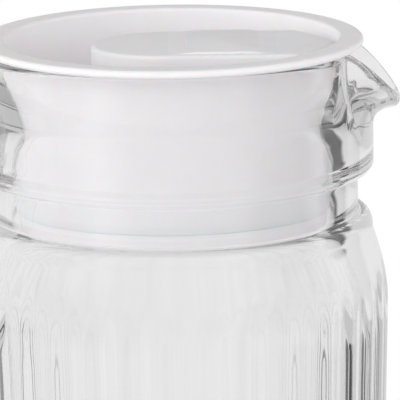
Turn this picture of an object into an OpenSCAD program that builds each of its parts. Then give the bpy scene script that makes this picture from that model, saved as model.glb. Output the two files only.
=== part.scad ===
// Fridge pitcher: a fluted glass jug with a handle and a drooping spout, closed by a turning plug lid.
// Millimetres. The origin is on the jug's axis at the table, +Z is up, +X points to the spout.

/* [Glass body] */
// Height of the glass from the table to the rim
jug_h = 188; // [175:1:200]
// Radius of the body at its corner under the shoulder
body_r = 51.8; // [50:0.2:55]
// Radius of the body just above the rounded heel
base_r = 48.8; // [46:0.2:51]
// Thickness of the body wall
wall = 4; // [3:0.1:5]
// Thickness of the bottom
base_t = 8; // [5:0.5:12]
// Rounding of the heel
heel_round = 6; // [4:0.5:8]
// Rounding inside, between wall and bottom
inside_round = 9; // [6:0.5:12]
// Drop from the rim to where the inside reaches its full width
inside_drop = 70; // [64:1:80]
// Drop from the rim to the corner under the shoulder
corner_drop = 57; // [55:0.5:66]
// Height over which the corner is softened, each way
corner_soft = 6; // [2:0.5:7]
// Radius of the shoulder above its cone
shoulder_r = 48.1; // [46.5:0.1:49]
// Height of the shoulder's round top edge
shoulder_round = 4.2; // [2:0.1:5]

/* [Flutes] */
// Number of flutes that would go all the way round
flute_count = 36; // [24:1:40]
// Radius of the hollow of one flute
flute_r = 6.8; // [5.5:0.1:9]
// Depth of a flute in the body
flute_depth = 1.3; // [0.8:0.1:1.6]
// Angle to each side of the handle that has no flutes
plain_angle = 15; // [13:1:25]

/* [Neck] */
// Outer radius of the glass rim
rim_r = 45.2; // [44.6:0.1:46]
// Inner radius of the mouth
mouth_r = 41.8; // [41.6:0.1:42.2]
// Inner radius at the bottom of the neck
throat_r = 39; // [38.8:0.1:39.6]
// Drop from the rim to where the neck's taper ends
throat_drop = 34; // [33:0.5:36]
// Radius of the thick collar round the neck
collar_r = 48.3; // [47.6:0.1:49]
// Drop from the rim to the top of the collar, where the spout springs from it
collar_top_drop = 22; // [21:0.5:23]
// Drop from the rim to the underside of the collar
collar_drop = 30.2; // [29:0.2:31]
// Rounding of the collar's lower edge
collar_round = 2.4; // [1:0.1:3]
// Radius of the groove under the collar
groove_r = 44.5; // [43:0.1:45.5]
// Height of the groove
groove_h = 10.3; // [8:0.1:12]
// Fillet in the groove's top corner
groove_fillet = 1; // [0.4:0.1:1.5]

/* [Spout] */
// Reach of the spout's tip from the jug's axis
spout_reach = 54.8; // [52:0.1:58]
// Half width of the spout between the middles of its side walls
spout_half_w = 14.5; // [12:0.1:16]
// Droop of the lip's edge at the tip below the rim
spout_droop = 11; // [8:0.1:12.5]
// Half thickness of the lip at the tip
lip_half_t = 2.2; // [1.8:0.1:2.6]
// Angle to each side of the spout over which the rim is drawn out
spout_angle = 30; // [26:1:34]

/* [Handle] */
// Width of the handle across, along Y
handle_w = 20; // [16:0.5:24]
// Thickness of the handle
handle_t = 10; // [8:0.5:12]
// Distance from the body's wall at the lower arm to the middle of the handle
handle_gap = 35.7; // [35.5:0.1:44]
// Drop from the rim to the middle of the upper arm
handle_drop = 24; // [21:0.5:27]
// Bend between the upper arm and the grip, at the middle of the handle
upper_bend = 16; // [12:0.5:22]
// Bend between the grip and the lower arm, at the middle of the handle
lower_bend = 31; // [26:0.5:31]
// Height of the lower bend's centre above the table
lower_bend_z = 101; // [96:1:112]
// Radius of the hollow flare where each arm meets the glass
root_flare = 5; // [3:0.5:5]

/* [Lid] */
// Radius of the lid's flange
flange_r = 46; // [45:0.1:47]
// Thickness of the flange
flange_t = 2; // [1.6:0.1:2.6]
// Gap between the flange and the top of the glass rim
seat_gap = 0.1; // [0.05:0.05:0.3]
// Outer radius of the plug's skirt under the flange
plug_r = 41.2; // [40.8:0.1:41.3]
// Outer radius of the plug's skirt at its lower edge
plug_low_r = 36.9; // [36.5:0.1:37]
// Length of the plug below the rim
plug_len = 42.3; // [41:0.1:44]
// Wall of the lid
lid_wall = 1.4; // [1:0.1:1.6]
// Depth of the finger well below the flange's top
well_depth = 21; // [17:0.5:24]
// Thickness of the well's floor
floor_t = 1.5; // [1:0.1:2]

/* [Grip] */
// Half width of the pointed grip in the well
grip_half_w = 16.8; // [14:0.1:18]
// Centre of the grip's round end, along X
grip_round_x = -2.4; // [-5:0.1:0]
// Place along X where the grip's pointed nose starts
grip_nose_x = 30; // [27:0.1:31]
// Reach of the nose's tip from the axis
grip_tip_x = 39.3; // [38:0.1:39.6]
// Radius of the two curves that make the nose
nose_curve_r = 65; // [45:1:90]
// Drop of the grip's top below the flange's top
grip_drop = 1.7; // [1:0.1:3]
// Rounding of the grip's top edge
grip_round = 1; // [0.5:0.1:1.6]
// Length of the raised pad on the grip
pad_l = 25.5; // [20:0.5:28]
// Width of the raised pad
pad_w = 29.6; // [20:0.2:30]
// Height of the raised pad
pad_h = 0.5; // [0.3:0.1:0.8]
// Rounding of the pad's corners
pad_round = 3; // [1:0.5:5]
// Start of the pad along X
pad_x = -0.7; // [-4:0.1:2]

/* [Pouring window] */
// Half width of the window through the plug's wall
window_half_w = 8; // [6:0.1:9]
// Drop from the flange's top to the window's upper edge
window_top_drop = 5; // [4:0.1:7]
// Height of the window
window_h = 12; // [8:0.5:13]

/* [Seal ring] */
// Height of the soft ring near the foot of the plug
seal_h = 8; // [5:0.1:9]
// Drop from the rim to the top of the ring
seal_drop = 30.1; // [29.5:0.1:31]
// Depth of the groove that holds the ring
seal_groove = 1; // [0.6:0.1:1.2]
// How far the ring stands proud of the plug
seal_proud = 0.6; // [0.3:0.05:0.7]
// Play of the ring in its groove
seal_play = 0.15; // [0.1:0.05:0.25]

/* [Hidden] */

$fn = 96;
// Overrun of every cutting tool
over = 5;
// Depth to which a handle root is sunk into the glass, and by which its flare dips under the wall
root_sink = 4;
root_dip = 1.2;
// Steps of a small rounding, of a wall curve and of the rim's round cap
round_steps = 6;
wall_steps = 10;
cap_steps = 8;
// Steps of the spout from one side to the other, of a handle bend and of each half of its oval
spout_steps = 40;
bend_steps = 10;
oval_steps = 10;

// Heights of the glass
rim_z = jug_h;
collar_low_z = rim_z - collar_drop;
collar_top_z = rim_z - collar_top_drop;
throat_z = rim_z - throat_drop;
shoulder_z = collar_low_z - groove_h;
split_z = shoulder_z + groove_h / 2;
corner_z = rim_z - corner_drop;
inside_z = rim_z - inside_drop;
// Half thickness of the rim, and the radius of its middle line
rim_half_t = (rim_r - mouth_r) / 2;
rim_mid_r = (rim_r + mouth_r) / 2;
// Inner radius of the neck at the top of the collar
neck_in_r = mouth_r - (mouth_r - throat_r) * (collar_top_drop - rim_half_t) / (throat_drop - rim_half_t);

// Heights of the lid
flange_z = rim_z + seat_gap;
lid_top_z = flange_z + flange_t;
plug_low_z = flange_z - plug_len;
floor_z = lid_top_z - well_depth;
seal_top_z = rim_z - seal_drop;
seal_low_z = seal_top_z - seal_h;
grip_top_z = lid_top_z - grip_drop;
window_top_z = lid_top_z - window_top_drop;

// Shares of the wall curves, from a rim point to its foot on the collar
ogee_top_share = 0.62;
ogee_low_share = 0.26;
cone_share = 1 / 3;
inside_pull_share = 0.4;
// Shares of the spout's curves, of the lip's length or of the collar's drop
lip_under_share = 0.26;
lip_under_low_share = 0.14;
lip_floor_share = 0.6;
lip_floor_low_share = 0.23;
// Power of the blunt lip's outline, and of the droop along it
blunt_power = 0.8;
droop_power = 1.6;
// Turn of the lip at the tip, from standing up to lying nearly flat
lip_turn = 84;
// Shares of the spout's half span: the lip's side, and the place where the lip has its full form
lip_side_share = 0.72;
lip_full_share = 0.6;
lip_roll_share = 0.78;

// Points along an arc about [x, y] from angle a to angle b
function arc(x, y, r, a, b, n) = [for (i = [0:n]) [x + r * cos(a + (b - a) * i / n), y + r * sin(a + (b - a) * i / n)]];

// Point at share s of a cubic curve through the control points p
function cubic(p, s) =
    p[0] * pow(1 - s, 3) + 3 * p[1] * s * pow(1 - s, 2) + 3 * p[2] * s * s * (1 - s) + p[3] * pow(s, 3);

// Points along a cubic curve
function curve(p, n) = [for (i = [0:n]) cubic(p, i / n)];

// Points along a curve bent towards the corner c
function bend(a, c, b, n) = curve([a, a + (c - a) * 2 / 3, b + (c - b) * 2 / 3, b], n);

// Smooth step from 0 at a to 1 at b
function smooth(x, a, b) = let (s = min(1, max(0, (x - a) / (b - a)))) s * s * (3 - 2 * s);

// Outer radius of the plug's skirt at height z
function skirt_r(z) = plug_low_r + (plug_r - plug_low_r) * (z - plug_low_z) / plug_len;

// Outer radius of the body's straight side at height z
function side_r(z) = base_r + (body_r - base_r) * (z - heel_round) / (corner_z - heel_round);

// Outer radius of the shoulder's cone at height z
function cone_r(z) = body_r - (body_r - shoulder_r) * (z - corner_z) / (shoulder_z - shoulder_round - corner_z);

// Outline of the glass outside, from the table's middle up to the split in the groove
function body_outside() = concat(
    [[0, 0]],
    arc(base_r - heel_round, heel_round, heel_round, -90, 0, round_steps + 2),
    bend(
        [side_r(corner_z - corner_soft), corner_z - corner_soft],
        [body_r, corner_z],
        [cone_r(corner_z + corner_soft), corner_z + corner_soft],
        round_steps
    ),
    bend([shoulder_r, shoulder_z - shoulder_round], [shoulder_r, shoulder_z], [groove_r, shoulder_z], round_steps)
);

// Outline of the hollow, from the split in the groove down to the middle of the floor
function body_inside() = concat(
    [[throat_r, split_z]],
    curve(
        [
            [throat_r, shoulder_z],
            [throat_r, shoulder_z - (shoulder_z - inside_z) * inside_pull_share],
            [side_r(inside_z) - wall, inside_z + (shoulder_z - inside_z) * inside_pull_share],
            [side_r(inside_z) - wall, inside_z]
        ],
        wall_steps
    ),
    arc(side_r(base_t + inside_round) - wall - inside_round, base_t + inside_round, inside_round, 0, -90, round_steps + 2),
    [[0, base_t]]
);

// Outline of the collar and groove, from the split up to the top of the collar
function collar_outside() = concat(
    [[groove_r, split_z]],
    arc(groove_r + groove_fillet, collar_low_z - groove_fillet, groove_fillet, 180, 90, round_steps),
    arc(collar_r - collar_round, collar_low_z + collar_round, collar_round, -90, 0, round_steps)
);

// Upper wall of the glass as one run of [outward, up] points: outside, round cap, inside.
// c is the cap's centre, rho its half thickness, roll the turn of the cap outwards,
// out and inn are the feet of the two faces, and the four lengths stretch the curves.
function wall_run(c, rho, roll, out, inn, out_up, out_low, in_up, in_low) =
    let (
        up = [sin(roll), cos(roll)],
        side = [cos(roll), -sin(roll)],
        outer = c + rho * side,
        inner = c - rho * side
    )
    concat(
        curve([out, out + [0, out_low], outer - up * out_up, outer], wall_steps),
        [for (i = [1:cap_steps - 1]) c + rho * (side * cos(180 * i / cap_steps) + up * sin(180 * i / cap_steps))],
        curve([inner, inner - up * in_up, inn + [0, in_low], inn], wall_steps)
    );

// Height of the plain upper wall, and the run of points that it has away from the spout
upper_h = rim_z - rim_half_t - collar_top_z;
plain_run = wall_run(
    [rim_mid_r, rim_z - rim_half_t], rim_half_t, 0,
    [collar_r, collar_top_z], [neck_in_r, collar_top_z],
    upper_h * ogee_top_share, upper_h * ogee_low_share,
    upper_h * cone_share, upper_h * cone_share
);

// Plan of the spout's middle line at t, which runs from -1 to 1 across the spout
lip_x = rim_mid_r * cos(spout_angle * lip_side_share);
lip_a = spout_reach - lip_half_t - lip_x;
function lip_angle(t) = 90 * min(1, abs(t) / lip_side_share);
function lip_plan(t) = [
    lip_x + lip_a * pow(cos(lip_angle(t)), blunt_power),
    sign(t) * spout_half_w * pow(sin(lip_angle(t)), blunt_power)
];
function lip_normal(t) =
    let (n = [spout_half_w * cos(lip_angle(t)), sign(t) * lip_a * sin(lip_angle(t))])
    n / norm(n);
function drawn_share(t) = smooth(1 - abs(t), 0, 1 - lip_full_share);
function rolled_share(t) = smooth(1 - abs(t) / lip_roll_share, 0, 1);

// One section of the spout at t, as points in space
function spout_section(t) =
    let (
        turn = spout_angle * t,
        ray = [cos(turn), sin(turn)],
        s = drawn_share(t),
        w = rolled_share(t),
        plan = rim_mid_r * ray * (1 - s) + lip_plan(t) * s,
        raw = ray * (1 - s) + lip_normal(t) * s,
        d = raw / norm(raw),
        rho = rim_half_t + (lip_half_t - rim_half_t) * w,
        out_share = max(0, (plan[0] - lip_x) / lip_a) * s,
        z = rim_z - rho - spout_droop * pow(out_share, droop_power),
        out_foot = collar_r * ray - plan,
        in_foot = neck_in_r * ray - plan,
        h = z - collar_top_z,
        run = wall_run(
            [0, z], rho, lip_turn * w,
            [0, collar_top_z], [0, collar_top_z],
            upper_h * (ogee_top_share * (1 - w) + lip_under_share * w) * min(1, h / upper_h + w),
            upper_h * (ogee_low_share * (1 - w) + lip_under_low_share * w),
            upper_h * cone_share * (1 - w) + lip_a * lip_floor_share * w,
            upper_h * (cone_share * (1 - w) + lip_floor_low_share * w)
        ),
        n = len(run)
    )
    [
        for (i = [0:n - 1])
            let (
                k_out = i <= wall_steps ? pow(1 - i / wall_steps, 2) * (1 + 2 * i / wall_steps) : 0,
                j = n - 1 - i,
                k_in = j <= wall_steps ? pow(1 - j / wall_steps, 2) * (1 + 2 * j / wall_steps) : 0,
                foot = out_foot * k_out + in_foot * k_in,
                p = plan + d * run[i][0] + foot
            )
            [p[0], p[1], run[i][1]]
    ];

// Solid through a list of sections, each with the same number of points
module loft(sections) {
    m = len(sections);
    n = len(sections[0]);
    points = [for (s = sections) for (p = s) p];
    sides = [
        for (i = [0:m - 2]) for (j = [0:n - 1])
            let (a = i * n + j, b = i * n + (j + 1) % n)
            each [[a, b, b + n], [a, b + n, a + n]]
    ];
    first = [[for (j = [n - 1:-1:0]) j]];
    last = [[for (j = [0:n - 1]) (m - 1) * n + j]];
    polyhedron(points, concat(sides, first, last), convexity = 4);
}

// Everything inside the glass's outer surface, to trim what is set against it
module glass_envelope() {
    rotate_extrude()
        polygon(concat(
            body_outside(),
            collar_outside(),
            [for (i = [0:wall_steps]) plain_run[i]],
            [[rim_mid_r, rim_z], [0, rim_z]]
        ));
}

// One flute's cutter, laid along the side of the body at +X
module flute_cutter() {
    lean = atan((body_r - base_r) / (corner_z - heel_round));
    root_x = side_r(0) - flute_depth + flute_r;
    translate([root_x, 0, 0])
        rotate([0, lean, 0])
            translate([0, 0, -over])
                cylinder(r = flute_r, h = shoulder_z + over);
}

module jug_body() {
    color("azure", 0.4)
        difference() {
            rotate_extrude()
                polygon(concat(body_outside(), [[groove_r, split_z]], body_inside()));
            for (i = [0:flute_count - 1]) {
                a = i * 360 / flute_count;
                if (abs(a - 180) > plain_angle)
                    rotate([0, 0, a])
                        flute_cutter();
            }
        }
}

// Wedge that the spout takes out of the plain neck
module spout_wedge() {
    far = spout_reach + over;
    translate([0, 0, collar_top_z])
        linear_extrude(collar_top_drop + over)
            polygon([[0, 0], [far, -far * tan(spout_angle)], [far, far * tan(spout_angle)]]);
}

module jug_neck() {
    color("azure", 0.4)
        difference() {
            rotate_extrude()
                polygon(concat(collar_outside(), plain_run, [[throat_r, throat_z], [throat_r, split_z]]));
            spout_wedge();
        }
}

module jug_spout() {
    color("azure", 0.4)
        loft([for (i = [0:spout_steps]) spout_section(2 * i / spout_steps - 1)]);
}

// Flat-sided oval of the handle, its width first, with round sides of radius r
function oval(r) =
    let (half_flat = (handle_w - handle_t) / 2)
    [
        for (s = [1, -1]) for (i = [0:oval_steps])
            let (a = 180 * i / oval_steps - 90 * s)
            [s * half_flat + r * cos(a), r * sin(a)]
    ];

// One section of the handle at [x, z], for a handle that runs in direction a there
function handle_section(x, z, a, r) = [for (p = oval(r)) [x + p[1] * sin(a), p[0], z - p[1] * cos(a)]];

// Sections of one bend about [x, z]
function handle_bend(x, z, bend_r, from) = [
    for (i = [0:bend_steps])
        let (a = from + 90 * i / bend_steps)
        handle_section(x + bend_r * cos(a), z + bend_r * sin(a), a + 90, handle_t / 2)
];

// Sections of an arm from inside the glass at radius r out to the end of its hollow flare
function handle_root(r, z, a) =
    let (foot = handle_t / 2 + root_flare)
    concat(
        [handle_section(root_sink - r, z, a, foot)],
        [
            for (i = [0:round_steps])
                let (b = 90 * i / round_steps)
                handle_section(
                    root_dip - r - root_flare * (1 - cos(b)), z, a, foot - root_flare * sin(b))
        ]
    );

module jug_handle() {
    top_z = rim_z - handle_drop;
    low_z = lower_bend_z - lower_bend;
    handle_reach = side_r(low_z) + handle_gap;
    low_root = handle_root(side_r(low_z), low_z, 0);
    color("azure", 0.4)
        difference() {
            loft(concat(
                handle_root(collar_r, top_z, 180),
                handle_bend(upper_bend - handle_reach, top_z - upper_bend, upper_bend, 90),
                handle_bend(lower_bend - handle_reach, lower_bend_z, lower_bend, 180),
                [for (i = [len(low_root) - 1:-1:0]) low_root[i]]
            ));
            glass_envelope();
        }
}

// Outline of the lid's cup turned about the axis: flange, skirt, floor and well
function cup_outline() = concat(
    [
        [0, floor_z],
        [skirt_r(floor_z) - lid_wall, floor_z]
    ],
    arc(plug_r - lid_wall + flange_t / 2, lid_top_z - flange_t / 2, flange_t / 2, 180, 90, round_steps),
    arc(flange_r - flange_t / 2, lid_top_z - flange_t / 2, flange_t / 2, 90, -90, round_steps * 2),
    [
        [plug_r, flange_z],
        [skirt_r(seal_top_z), seal_top_z],
        [skirt_r(seal_top_z) - seal_groove, seal_top_z],
        [skirt_r(seal_low_z) - seal_groove, seal_low_z],
        [skirt_r(seal_low_z), seal_low_z],
        [plug_low_r, plug_low_z],
        [skirt_r(seal_low_z) - seal_groove - lid_wall, plug_low_z],
        [skirt_r(seal_low_z) - seal_groove - lid_wall, seal_top_z + seal_groove],
        [skirt_r(floor_z - floor_t) - lid_wall, floor_z - floor_t],
        [0, floor_z - floor_t]
    ]
);

// Disc with a rounded top edge and its foot at z
module eased_disc(r, z) {
    rotate_extrude()
        polygon(concat(
            [[0, z], [r, z]],
            arc(r - grip_round, grip_top_z - grip_round, grip_round, 0, 90, round_steps),
            [[0, grip_top_z]]
        ));
}

// The grip drawn in by inset, from z up to its rounded top: a round end, straight sides,
// and a pointed nose where two large discs cross
module grip_form(inset, z) {
    w = grip_half_w - inset;
    run = grip_tip_x - grip_nose_x;
    chord = norm([run, grip_half_w]);
    reach = sqrt(pow(nose_curve_r, 2) - pow(chord / 2, 2)) / chord;
    centre_x = (grip_nose_x + grip_tip_x) / 2 - grip_half_w * reach;
    centre_y = grip_half_w / 2 - run * reach;
    translate([grip_round_x, 0, 0])
        eased_disc(w, z);
    intersection() {
        translate([grip_round_x, 0, 0])
            rotate([90, 0, 90])
                linear_extrude(grip_tip_x - grip_round_x)
                    polygon(concat(
                        [[-w, z], [w, z]],
                        arc(w - grip_round, grip_top_z - grip_round, grip_round, 0, 90, round_steps),
                        arc(grip_round - w, grip_top_z - grip_round, grip_round, 90, 180, round_steps)
                    ));
        translate([centre_x, centre_y, 0])
            eased_disc(nose_curve_r - inset, z);
        translate([centre_x, -centre_y, 0])
            eased_disc(nose_curve_r - inset, z);
    }
}

// The hollow under the grip, open downwards through the well's floor
module grip_hollow() {
    translate([0, 0, -lid_wall])
        grip_form(lid_wall, floor_z - floor_t);
}

// Passage from the hollow through the plug's wall, from z up to the window's upper edge
module window_cut(z) {
    translate([grip_nose_x, -window_half_w, z])
        cube([flange_r - grip_nose_x, window_half_w * 2, window_top_z - z]);
}

// The finger well's space inside the cup
module well_space() {
    rotate_extrude()
        polygon([
            [0, floor_z],
            [skirt_r(floor_z) - lid_wall, floor_z],
            [plug_r - lid_wall, lid_top_z - flange_t / 2],
            [0, lid_top_z - flange_t / 2]
        ]);
}

// Raised blank pad on the grip's top
module grip_pad() {
    half_w = pad_w / 2 - pad_round;
    translate([pad_x, 0, grip_top_z])
        linear_extrude(pad_h) {
            translate([0, -half_w])
                square([pad_l, half_w * 2]);
            translate([pad_round, -pad_w / 2])
                square([pad_l - pad_round * 2, pad_w]);
            for (x = [pad_round, pad_l - pad_round], y = [-half_w, half_w])
                translate([x, y])
                    circle(pad_round);
        }
}

module lid_cup() {
    color("white")
        difference() {
            rotate_extrude()
                polygon(cup_outline());
            grip_hollow();
            window_cut(window_top_z - window_h);
        }
}

module lid_grip() {
    cheek_half_w = window_half_w + lid_wall;
    color("white") {
        difference() {
            intersection() {
                union() {
                    grip_form(0, floor_z);
                    translate([grip_nose_x, -cheek_half_w, floor_z])
                        cube([flange_r - grip_nose_x, cheek_half_w * 2, window_top_z + lid_wall - floor_z]);
                }
                well_space();
            }
            grip_hollow();
            window_cut(floor_z);
        }
        grip_pad();
    }
}

module seal_ring() {
    color("gainsboro")
        rotate_extrude()
            polygon([
                [skirt_r(seal_top_z) - seal_groove + seal_play, seal_top_z - seal_play],
                [skirt_r(seal_top_z) + seal_proud, seal_top_z - seal_play],
                [skirt_r(seal_low_z) + seal_proud, seal_low_z + seal_play],
                [skirt_r(seal_low_z) - seal_groove + seal_play, seal_low_z + seal_play]
            ]);
}

jug_body();
jug_neck();
jug_spout();
jug_handle();
lid_cup();
lid_grip();
seal_ring();
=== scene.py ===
"""Looks of the fridge pitcher: one piece of glass, the lid and its ring, on a pale floor."""

import math

import bpy
import numpy as np
from mathutils import Matrix, Vector


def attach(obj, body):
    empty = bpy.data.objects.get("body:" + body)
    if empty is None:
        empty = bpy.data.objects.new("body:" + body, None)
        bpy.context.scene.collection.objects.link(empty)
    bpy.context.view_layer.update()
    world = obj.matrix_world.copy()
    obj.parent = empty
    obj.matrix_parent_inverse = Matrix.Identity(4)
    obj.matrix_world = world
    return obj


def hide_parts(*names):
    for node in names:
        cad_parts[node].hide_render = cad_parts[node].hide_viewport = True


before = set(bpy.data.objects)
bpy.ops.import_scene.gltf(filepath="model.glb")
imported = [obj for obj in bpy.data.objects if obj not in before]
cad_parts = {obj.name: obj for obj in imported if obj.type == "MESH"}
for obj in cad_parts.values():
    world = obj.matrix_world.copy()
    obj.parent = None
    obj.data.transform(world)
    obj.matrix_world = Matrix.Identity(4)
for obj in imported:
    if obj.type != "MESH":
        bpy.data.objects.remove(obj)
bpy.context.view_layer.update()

MM = 0.001

# Glass body, in millimetres as in the part's source
RIM_Z = 188.0
BODY_R = 51.8
BASE_R = 48.8
WALL = 4.0
BASE_T = 8.0
HEEL = 6.0
INSIDE_ROUND = 9.0
INSIDE_DROP = 70.0
CORNER_DROP = 57.0
CORNER_SOFT = 6.0
SHOULDER_R = 48.1
SHOULDER_ROUND = 4.2
# Breadth of the shoulder's round top edge, and the fillet where it meets the groove
SHOULDER_ROUND_W = 2.6
SHOULDER_FILLET = 0.9
# Share of its height that the curve pulls where the inside widens under the neck
INSIDE_PULL_SHARE = 0.4

# Flutes: shallower than in the solids, with edges softened over FLUTE_SOFT
FLUTES = 36
PLAIN_ANGLE = 15.0
FLUTE_R = 6.8
FLUTE_DEPTH = 0.6
FLUTE_SOFT = 0.7
# Share of the softening that is taken off again, so that the body between the flutes keeps its radius
FLUTE_TRIM_SHARE = 0.125

# Neck
RIM_R = 45.2
MOUTH_R = 41.8
THROAT_R = 39.0
THROAT_DROP = 34.0
COLLAR_R = 48.3
COLLAR_TOP_DROP = 22.0
COLLAR_DROP = 30.2
COLLAR_ROUND = 2.4
GROOVE_R = 44.5
GROOVE_H = 10.3
GROOVE_FILLET = 1.0

# Spout
SPOUT_REACH = 54.8
SPOUT_HALF_W = 14.5
SPOUT_DROOP = 11.0
LIP_HALF_T = 2.2
SPOUT_ANGLE = 30.0
# Turn of the lip at the tip, from standing up to lying nearly flat
LIP_TURN = 84
# Shares of the upper wall's height that its curves pull: under the rim, over the collar, and inside
OGEE_TOP_SHARE = 0.62
OGEE_LOW_SHARE = 0.26
CONE_SHARE = 1 / 3
# Shares that the spout's curves pull at its tip: under the lip, and on its floor
LIP_UNDER_SHARE = 0.26
LIP_UNDER_LOW_SHARE = 0.14
LIP_FLOOR_SHARE = 0.6
LIP_FLOOR_LOW_SHARE = 0.23
# Powers of the blunt lip's outline, and of the droop along it
BLUNT_POWER = 0.8
DROOP_POWER = 1.6
# Shares of the spout's half span, from its middle: the lip's side, its full form, and its roll's end
LIP_SIDE_SHARE = 0.72
LIP_FULL_SHARE = 0.6
LIP_ROLL_SHARE = 0.78

# Handle
HANDLE_W = 20.0
HANDLE_T = 10.0
HANDLE_GAP = 35.7
HANDLE_DROP = 24.0
UPPER_BEND = 16.0
LOWER_BEND = 31.0
LOWER_BEND_Z = 101.0
ROOT_FLARE = 5.0
ROOT_SINK = 3.0
ROOT_DIP = 1.2

# Lid
FLANGE_R = 46.0
FLANGE_T = 2.0
SEAT_GAP = 0.1
PLUG_R = 41.2
PLUG_LOW_R = 36.9
PLUG_LEN = 42.3
LID_WALL = 1.4
WELL_DEPTH = 21.0
FLOOR_T = 1.5
# Drop from the flange's top to where the well's wall starts, and the fillet at its foot
WELL_WALL_DROP = 1.4
WELL_FILLET = 1.2
# Small roundings under the flange and round the plug's foot, and the bevel inside that foot
FLANGE_FILLET = 0.4
PLUG_ROUND = 0.4
PLUG_BEVEL = 0.3

# Grip and its raised pad
GRIP_HALF_W = 16.8
GRIP_ROUND_X = -2.4
GRIP_NOSE_X = 30.0
GRIP_TIP_X = 39.3
NOSE_CURVE_R = 65.0
GRIP_DROP = 1.7
GRIP_ROUND = 1.0
PAD_X = -0.7
PAD_L = 25.5
PAD_W = 29.6
PAD_H = 0.5
PAD_ROUND = 3.0
# Length over which each end of the pad rises, and the softening of its top edge
PAD_RISE = 4.0
PAD_EDGE = 0.15
# Depth of the pad's foot inside the grip, and the height at which its ends start to rise
PAD_SINK = 0.4
PAD_START = 0.02

# Pouring window
WINDOW_HALF_W = 8.0
WINDOW_TOP_DROP = 5.0
WINDOW_H = 12.0

# Soft ring: its lip rises over SEAL_SLOPE from each edge
SEAL_DROP = 30.1
SEAL_H = 8.0
SEAL_GROOVE = 1.0
SEAL_PROUD = 0.6
SEAL_PLAY = 0.15
SEAL_EDGE = 0.05
SEAL_SLOPE = 2.4

# Overrun of the cutting shapes, and the depth to which the grip enters the cup
OVER = 1.0
OVERLAP = 0.2

# Heights and radii worked out from the sizes
INSIDE_Z = RIM_Z - INSIDE_DROP
CORNER_Z = RIM_Z - CORNER_DROP
THROAT_Z = RIM_Z - THROAT_DROP
COLLAR_TOP_Z = RIM_Z - COLLAR_TOP_DROP
COLLAR_LOW_Z = RIM_Z - COLLAR_DROP
SHOULDER_Z = COLLAR_LOW_Z - GROOVE_H
HANDLE_TOP_Z = RIM_Z - HANDLE_DROP
FLANGE_Z = RIM_Z + SEAT_GAP
LID_TOP_Z = FLANGE_Z + FLANGE_T
PLUG_LOW_Z = FLANGE_Z - PLUG_LEN
FLOOR_Z = LID_TOP_Z - WELL_DEPTH
GRIP_TOP_Z = LID_TOP_Z - GRIP_DROP
WINDOW_TOP_Z = LID_TOP_Z - WINDOW_TOP_DROP
SEAL_TOP_Z = RIM_Z - SEAL_DROP
SEAL_LOW_Z = SEAL_TOP_Z - SEAL_H
HEEL_R = BASE_R - HEEL
RIM_HALF_T = (RIM_R - MOUTH_R) / 2
RIM_MID_R = (RIM_R + MOUTH_R) / 2
NECK_TAPER = (MOUTH_R - THROAT_R) / (THROAT_DROP - RIM_HALF_T)
NECK_IN_R = MOUTH_R - NECK_TAPER * (COLLAR_TOP_DROP - RIM_HALF_T)
UPPER_H = RIM_Z - RIM_HALF_T - COLLAR_TOP_Z
LIP_X = RIM_MID_R * math.cos(math.radians(SPOUT_ANGLE * LIP_SIDE_SHARE))
LIP_A = SPOUT_REACH - LIP_HALF_T - LIP_X
LEAN = math.atan((BODY_R - BASE_R) / (CORNER_Z - HEEL))

# Columns of points round the glass and round the lid
COLUMNS = 720
LID_COLUMNS = 360
# Lengths of the mesh's steps, and the height above which the body has short ones for the flutes' ends
BASE_STEP = 4.0
BODY_STEP = 3.0
FLUTE_END_STEP = 0.8
NECK_STEP = 1.2
THROAT_STEP = 1.5
INNER_WALL_STEP = 6.0
LID_STEP = 3.0
GRIP_STEP = 2.0
FLUTE_END_Z = 112.0
# Radii of the first rings of points round the axis, under the base and on the floor inside
BASE_RING_R = 1.0
INNER_RING_R = 0.6
# Numbers of steps along the rounded stretches of the glass
WALL_STEPS = 26
CAP_STEPS = 18
HEEL_STEPS = 14
CORNER_STEPS = 16
ROUND_STEPS = 12
SHOULDER_FILLET_STEPS = 6
GROOVE_FILLET_STEPS = 8
INNER_CURVE_STEPS = 30
OVAL_STEPS = 18
FLARE_STEPS = 14
BEND_STEPS = 30
# Numbers of steps along the rounded stretches of the lid and the ring
PLUG_ROUND_STEPS = 5
FLANGE_FILLET_STEPS = 4
FLANGE_STEPS = 24
FLANGE_INNER_STEPS = 14
WELL_FILLET_STEPS = 8
NOSE_STEPS = 24
GRIP_BACK_STEPS = 36
GRIP_EDGE_STEPS = 8
PAD_CORNER_STEPS = 8
PAD_EDGE_ANGLES = (30, 60, 90)
SEAL_LIP_STEPS = 10


# Curves


def arc(x, y, r, a, b, n):
    """Points along an arc about (x, y) from angle a to angle b, in degrees."""
    turn = np.radians(np.linspace(a, b, n + 1))
    return [(x + r * math.cos(t), y + r * math.sin(t)) for t in turn]


def curve(p, n):
    """Points along a cubic curve through its four control points."""
    p = [np.array(q, float) for q in p]
    out = []
    for s in np.linspace(0, 1, n + 1):
        q = p[0] * (1 - s) ** 3 + 3 * p[1] * s * (1 - s) ** 2 + 3 * p[2] * s * s * (1 - s) + p[3] * s**3
        out.append((q[0], q[1]))
    return out


def bend(a, c, b, n):
    """Points along a curve from a to b, bent towards the corner c."""
    a, b, c = np.array(a, float), np.array(b, float), np.array(c, float)
    return curve([a, a + (c - a) * 2 / 3, b + (c - b) * 2 / 3, b], n)


def line(a, b, step):
    """Points from a up to, but not at, b, about step apart."""
    a, b = np.array(a, float), np.array(b, float)
    n = max(1, round(float(np.linalg.norm(b - a)) / step))
    return [tuple(a + (b - a) * i / n) for i in range(n)]


def smooth(x, a, b):
    """Smooth step from 0 at a to 1 at b."""
    s = min(1.0, max(0.0, (x - a) / (b - a)))
    return s * s * (3 - 2 * s)


def mixed(a, b, share):
    """Value between a and b: a where the share is 0, b where it is 1."""
    return a * (1 - share) + b * share


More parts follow.
